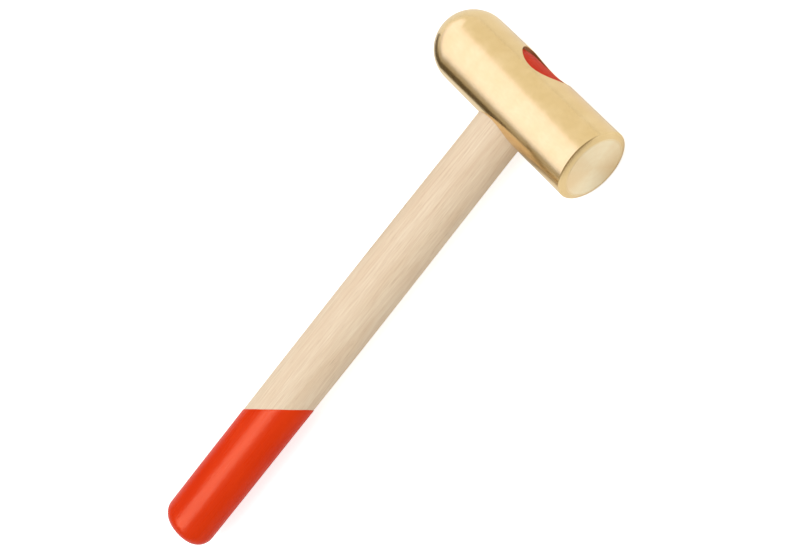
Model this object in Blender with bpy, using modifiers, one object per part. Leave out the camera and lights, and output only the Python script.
"""A carving mallet: a round brass head, flat at one end and domed at the other, on an oval wooden handle.

The mallet lies on its side on the ground, z = 0. Its handle runs along +X towards the head. The head's
flat striking face looks along -Y and its domed end along +Y. Every piece is drawn about the point where
the handle's axis crosses the head's axis, and one empty there carries them all.
"""

import math

import bmesh
import bpy
from mathutils import Vector

MM = 0.001
GAP = 0.3 * MM

# The head, a turned brass bar.
HEAD_RADIUS = 19.0 * MM
FACE_REACH = 52.0 * MM
DOME_REACH = 59.0 * MM
FACE_EDGE_WIDTH = 3.3 * MM
FACE_EDGE_DEPTH = 1.25 * MM

# The eye, the oval hole that the handle goes through. From inside the head to its top it flares towards
# the dome.
EYE_HALF_WIDTH = 14.0 * MM
EYE_HALF_THICKNESS = 11.3 * MM
EYE_FLARE = 2.4 * MM
EYE_FLARE_START = -4.0 * MM
EYE_CUTTER_REACH = 30.0 * MM

# The handle, measured from the head's axis to its butt. It swells from a neck to the grip.
HANDLE_REACH = 283.0 * MM
GRIP_HALF_WIDTH = 14.6 * MM
GRIP_HALF_THICKNESS = 12.0 * MM
NECK_END = -30.0 * MM
SWELL_LENGTH = 140.0 * MM
BUTT_ROUND = 8.3 * MM

# The red lacquer over the tenon's end, just under the head's surface. The end is crowned: it is part of a
# round bar along Y, nearly as round as the head.
CROWN_AXIS = -5.2 * MM
SEAL_RADIUS = 23.0 * MM
SEAL_THICKNESS = 0.6 * MM
CROWN_RADIUS = SEAL_RADIUS - SEAL_THICKNESS - GAP
TENON_TOP = CROWN_AXIS + CROWN_RADIUS
TENON_BLANK_TOP = 24.0 * MM
SEAL_BLANK_BOTTOM = 9.0 * MM

# The wooden wedge lies in a kerf along the head's axis.
KERF_DEPTH = 27.0 * MM
WOOD_WEDGE_LENGTH = 26.0 * MM
WOOD_WEDGE_WIDTH = 27.2 * MM
WOOD_WEDGE_THICK_END = 2.9 * MM
WOOD_WEDGE_THIN_END = 0.8 * MM

# Two steel wedges lie across the wooden one.
STEEL_WEDGE_LENGTH = 14.0 * MM
STEEL_WEDGE_WIDTH = 14.0 * MM
STEEL_WEDGE_THICK_END = 2.4 * MM
STEEL_WEDGE_THIN_END = 0.6 * MM
STEEL_WEDGE_OFFSET = 7.5 * MM

# The coat that the grip end was dipped in. The wood under it is drawn smaller, to hold the coat.
COAT_STANDS_PROUD = 0.2 * MM
COAT_THICKNESS = 0.5 * MM
WOOD_RELIEF = COAT_THICKNESS + GAP - COAT_STANDS_PROUD
COAT_LENGTH = 85.0 * MM
COAT_SLANT = math.radians(42.5)
COAT_LEAN = math.radians(4.0)
COAT_BLANK_TOP = -160.0 * MM
BLOCK_SIZE = 240.0 * MM

# Smoothness of the round shapes.
HEAD_STEPS = 64
CROWN_STEPS = 96
DOME_STEPS = 14
EDGE_STEPS = 4
OVAL_STEPS = 48
SWELL_STEPS = 8
BUTT_STEPS = 6
SHARP_ANGLE = math.radians(35)


def clear_scene():
    for obj in list(bpy.data.objects):
        bpy.data.objects.remove(obj, do_unlink=True)


def new_collection(name):
    collection = bpy.data.collections.new(name)
    bpy.context.scene.collection.children.link(collection)
    return collection


def new_material(name, colour, roughness, metallic=0.0):
    material = bpy.data.materials.new(name)
    material.use_nodes = True
    shader = material.node_tree.nodes["Principled BSDF"]
    shader.inputs["Base Color"].default_value = (*colour, 1.0)
    shader.inputs["Roughness"].default_value = roughness
    shader.inputs["Metallic"].default_value = metallic
    material.diffuse_color = (*colour, 1.0)
    return material


def new_object(name, mesh_builder, centre):
    """An object of the finished bmesh, drawn about the empty at the crossing of the two axes."""
    mesh = bpy.data.meshes.new(name)
    bmesh.ops.recalc_face_normals(mesh_builder, faces=mesh_builder.faces)
    mesh_builder.to_mesh(mesh)
    mesh_builder.free()
    obj = bpy.data.objects.new(name, mesh)
    obj.parent = centre
    return obj


def make_part(obj, material, collection):
    obj.data.materials.append(material)
    obj.data.shade_smooth()
    obj.data.set_sharp_from_angle(angle=SHARP_ANGLE)
    collection.objects.link(obj)


def make_cutter(obj, collection):
    obj.hide_render = True
    obj.display_type = "WIRE"
    collection.objects.link(obj)


def cut(obj, cutter):
    modifier = obj.modifiers.new("cut_" + cutter.name, "BOOLEAN")
    modifier.operation = "DIFFERENCE"
    modifier.solver = "EXACT"
    modifier.object = cutter


def oval_loft(name, stations, centre):
    """A closed solid through oval rings across X, each (x, half width, half thickness, middle's y)."""
    builder = bmesh.new()
    rings = []
    for x, half_width, half_thickness, middle in stations:
        ring = []
        for step in range(OVAL_STEPS):
            angle = 2 * math.pi * step / OVAL_STEPS
            place = (x, middle + half_width * math.cos(angle), half_thickness * math.sin(angle))
            ring.append(builder.verts.new(place))
        rings.append(ring)
    builder.faces.new(rings[0])
    builder.faces.new(rings[-1])
    for near, far in zip(rings, rings[1:]):
        for step in range(OVAL_STEPS):
            after = (step + 1) % OVAL_STEPS
            builder.faces.new((near[step], near[after], far[after], far[step]))
    return new_object(name, builder, centre)


def tapered_block(name, bottom, top, bottom_size, top_size, offset, centre):
    """A block from x = bottom to x = top, whose (width, thickness) changes between its two ends."""
    builder = bmesh.new()
    bmesh.ops.create_cube(builder, size=1.0)
    for vert in builder.verts:
        at_top = vert.co.x > 0
        width, thickness = top_size if at_top else bottom_size
        vert.co.x = top if at_top else bottom
        vert.co.y = offset + vert.co.y * width
        vert.co.z = vert.co.z * thickness
    return new_object(name, builder, centre)


def slanted_block(name, face_distance, towards_head, centre):
    """A large block with one face on the coat's slanted edge, moved by face_distance towards the head."""
    builder = bmesh.new()
    bmesh.ops.create_cube(builder, size=BLOCK_SIZE)
    block = new_object(name, builder, centre)
    normal = Vector((
        math.cos(COAT_SLANT) * math.cos(COAT_LEAN),
        math.sin(COAT_SLANT) * math.cos(COAT_LEAN),
        math.sin(COAT_LEAN),
    ))
    edge_on_axis = Vector((COAT_LENGTH - HANDLE_REACH, 0, 0))
    half_block = BLOCK_SIZE / 2 if towards_head else -BLOCK_SIZE / 2
    block.rotation_mode = "QUATERNION"
    block.rotation_quaternion = normal.to_track_quat("X", "Z")
    block.location = edge_on_axis + normal * (face_distance + half_block)
    return block


def crown_bar(name, radius, centre):
    """A round bar along Y, whose top is the crown of the tenon's end."""
    builder = bmesh.new()
    bmesh.ops.create_cone(
        builder, cap_ends=True, segments=CROWN_STEPS, radius1=radius, radius2=radius, depth=BLOCK_SIZE / 2
    )
    bar = new_object(name, builder, centre)
    bar.rotation_euler = (-math.pi / 2, 0, 0)
    bar.location = (CROWN_AXIS, 0, 0)
    return bar


def crown_trimmer(name, bar, centre):
    """A block over the tenon's end, hollowed by a crown bar, so that it cuts off all that is above it."""
    width = 2 * HEAD_RADIUS
    trimmer = tapered_block(
        name, SEAL_BLANK_BOTTOM - GAP, 2 * TENON_BLANK_TOP, (2 * width, width), (2 * width, width), 0.0, centre
    )
    cut(trimmer, bar)
    return trimmer


def eye_station(x, clearance):
    """The eye's oval at a height x on the handle's axis, drawn in by a clearance."""
    rise = max(0.0, x - EYE_FLARE_START) / (HEAD_RADIUS - EYE_FLARE_START)
    flare = EYE_FLARE * rise
    return (x, EYE_HALF_WIDTH + flare / 2 - clearance, EYE_HALF_THICKNESS - clearance, flare / 2)


def eye_stations():
    return [eye_station(x, 0.0) for x in (-EYE_CUTTER_REACH, EYE_FLARE_START, EYE_CUTTER_REACH)]


def tenon_station(x):
    """The oval that fills the eye at x, clear of its wall."""
    return eye_station(x, GAP)


def swell_station(share, inset):
    """The handle's oval at a share of the way from the neck to the full grip."""
    _, neck_width, neck_thickness, _ = tenon_station(NECK_END)
    growth = math.sin(share * math.pi / 2)
    half_width = neck_width + (GRIP_HALF_WIDTH - neck_width) * growth
    half_thickness = neck_thickness + (GRIP_HALF_THICKNESS - neck_thickness) * growth
    return (NECK_END - SWELL_LENGTH * share, half_width - inset, half_thickness - inset, 0.0)


def butt_stations(inset):
    """The grip's rounded end: a quarter circle swept round the oval."""
    radius = BUTT_ROUND - inset
    stations = []
    for step in range(BUTT_STEPS + 1):
        angle = step / BUTT_STEPS * math.pi / 2
        x = -HANDLE_REACH + inset + radius * (1 - math.sin(angle))
        drawn_in = inset + radius * (1 - math.cos(angle))
        stations.append((x, GRIP_HALF_WIDTH - drawn_in, GRIP_HALF_THICKNESS - drawn_in, 0.0))
    return stations


def handle_stations():
    tenon = [tenon_station(x) for x in (TENON_BLANK_TOP, EYE_FLARE_START, NECK_END)]
    swell = [swell_station(step / SWELL_STEPS, 0.0) for step in range(1, SWELL_STEPS + 1)]
    return tenon + swell + butt_stations(0.0)


def grip_stations(inset):
    """The dipped end of the handle, drawn smaller by inset, up to a little past the coat's edge."""
    share = (NECK_END - COAT_BLANK_TOP) / SWELL_LENGTH
    return [swell_station(share, inset), swell_station(1.0, inset)] + butt_stations(inset)


def head_profile():
    """Half the head's outline as (radius, height), from the dome's tip down to the flat face."""
    outline = []
    for step in range(DOME_STEPS + 1):
        angle = step / DOME_STEPS * math.pi / 2
        height = DOME_REACH - HEAD_RADIUS * (1 - math.cos(angle))
        outline.append((HEAD_RADIUS * math.sin(angle), height))
    for step in range(EDGE_STEPS + 1):
        angle = step / EDGE_STEPS * math.pi / 2
        radius = HEAD_RADIUS - FACE_EDGE_WIDTH * (1 - math.cos(angle))
        height = -FACE_REACH + FACE_EDGE_DEPTH * (1 - math.sin(angle))
        outline.append((radius, height))
    outline.append((0.0, -FACE_REACH))
    return outline


def turned_head(name, centre):
    """The head's outline spun round the head's axis, then laid along Y."""
    builder = bmesh.new()
    verts = [builder.verts.new((radius, 0, height)) for radius, height in head_profile()]
    for start, end in zip(verts, verts[1:]):
        builder.edges.new((start, end))
    head = new_object(name, builder, centre)
    head.rotation_euler = (-math.pi / 2, 0, 0)
    screw = head.modifiers.new("turning", "SCREW")
    screw.steps = HEAD_STEPS
    screw.render_steps = HEAD_STEPS
    screw.use_merge_vertices = True
    screw.merge_threshold = 0.00001
    return head


def wood_wedge_block(name, clearance, top, centre):
    bottom = TENON_TOP - WOOD_WEDGE_LENGTH - clearance
    thin = WOOD_WEDGE_THIN_END + 2 * clearance
    thick = WOOD_WEDGE_THICK_END + 2 * clearance
    return tapered_block(
        name, bottom, top, (WOOD_WEDGE_WIDTH, thin), (WOOD_WEDGE_WIDTH, thick), 0.0, centre
    )


def kerf_block(name, centre):
    """The sawn kerf: wide enough for the wedge, and right across the tenon."""
    across = 4 * EYE_HALF_WIDTH
    thin = (across, WOOD_WEDGE_THIN_END + 2 * GAP)
    thick = (across, WOOD_WEDGE_THICK_END + 2 * GAP)
    return tapered_block(name, TENON_TOP - KERF_DEPTH, TENON_TOP + GAP, thin, thick, 0.0, centre)


def steel_wedge_block(name, clearance, top, offset, centre):
    bottom = TENON_TOP - STEEL_WEDGE_LENGTH - clearance
    width = STEEL_WEDGE_WIDTH + 2 * clearance
    thin = STEEL_WEDGE_THIN_END + 2 * clearance
    thick = STEEL_WEDGE_THICK_END + 2 * clearance
    return tapered_block(name, bottom, top, (thin, width), (thick, width), offset, centre)


def make_crown_cutter(centre, cutters):
    bar = crown_bar("crown_bar", CROWN_RADIUS, centre)
    crown = crown_trimmer("crown_cutter", bar, centre)
    for cutter in (bar, crown):
        make_cutter(cutter, cutters)
    return crown


def make_head(centre, parts, cutters):
    brass = new_material("brass", (0.78, 0.56, 0.26), 0.28, 1.0)
    head = turned_head("brass_head", centre)
    eye = oval_loft("eye_cutter", eye_stations(), centre)
    make_cutter(eye, cutters)
    make_part(head, brass, parts)
    cut(head, eye)


def make_handle(centre, parts, cutters, slots, crown):
    ash = new_material("ash_wood", (0.80, 0.66, 0.47), 0.55)
    handle = oval_loft("handle", handle_stations(), centre)
    relief = slanted_block("relief_cutter", 0.0, False, centre)
    core = oval_loft("relief_core", grip_stations(WOOD_RELIEF), centre)
    cut(relief, core)
    kerf = kerf_block("kerf_cutter", centre)
    for cutter in (relief, core, kerf):
        make_cutter(cutter, cutters)
    make_part(handle, ash, parts)
    for cutter in (crown, relief, kerf, *slots):
        cut(handle, cutter)


def make_wood_wedge(centre, parts, slots, crown):
    hardwood = new_material("wedge_wood", (0.52, 0.36, 0.20), 0.6)
    wedge = wood_wedge_block("wooden_wedge", 0.0, TENON_TOP, centre)
    make_part(wedge, hardwood, parts)
    for cutter in (crown, *slots):
        cut(wedge, cutter)


def make_steel_wedges(centre, parts, crown):
    steel = new_material("wedge_steel", (0.42, 0.42, 0.44), 0.45, 1.0)
    for name, side in (("steel_wedge_face_side", -1), ("steel_wedge_dome_side", 1)):
        wedge = steel_wedge_block(name, 0.0, TENON_TOP, side * STEEL_WEDGE_OFFSET, centre)
        make_part(wedge, steel, parts)
        cut(wedge, crown)


def make_steel_wedge_slots(centre, cutters):
    slots = []
    for name, side in (("slot_cutter_face_side", -1), ("slot_cutter_dome_side", 1)):
        slot = steel_wedge_block(name, GAP, TENON_TOP + GAP, side * STEEL_WEDGE_OFFSET, centre)
        make_cutter(slot, cutters)
        slots.append(slot)
    return slots


def make_end_seal(centre, parts, cutters):
    lacquer = new_material("red_lacquer", (0.62, 0.05, 0.03), 0.5)
    stations = [tenon_station(x) for x in (TENON_BLANK_TOP, SEAL_BLANK_BOTTOM)]
    seal = oval_loft("red_end_seal", stations, centre)
    top_bar = crown_bar("seal_top_bar", SEAL_RADIUS, centre)
    trimmer = crown_trimmer("seal_top_cutter", top_bar, centre)
    underside = crown_bar("seal_underside_cutter", SEAL_RADIUS - SEAL_THICKNESS, centre)
    make_part(seal, lacquer, parts)
    for cutter in (top_bar, trimmer, underside):
        make_cutter(cutter, cutters)
    cut(seal, trimmer)
    cut(seal, underside)


def make_grip_coat(centre, parts, cutters):
    coating = new_material("red_dip_coating", (0.72, 0.06, 0.02), 0.3)
    coat = oval_loft("red_grip_coat", grip_stations(-COAT_STANDS_PROUD), centre)
    trim = slanted_block("coat_trim_cutter", -GAP, True, centre)
    hollow = oval_loft("coat_hollow_cutter", grip_stations(WOOD_RELIEF - GAP), centre)
    make_part(coat, coating, parts)
    for cutter in (hollow, trim):
        make_cutter(cutter, cutters)
        cut(coat, cutter)


def make_mallet():
    parts = new_collection("carving_mallet")
    cutters = new_collection("cutters")
    centre = bpy.data.objects.new("mallet_centre", None)
    half_length = (HANDLE_REACH + COAT_STANDS_PROUD - HEAD_RADIUS) / 2
    centre.location = (half_length, (FACE_REACH - DOME_REACH) / 2, HEAD_RADIUS)
    parts.objects.link(centre)
    slots = make_steel_wedge_slots(centre, cutters)
    crown = make_crown_cutter(centre, cutters)
    make_head(centre, parts, cutters)
    make_handle(centre, parts, cutters, slots, crown)
    make_wood_wedge(centre, parts, slots, crown)
    make_steel_wedges(centre, parts, crown)
    make_end_seal(centre, parts, cutters)
    make_grip_coat(centre, parts, cutters)


clear_scene()
make_mallet()
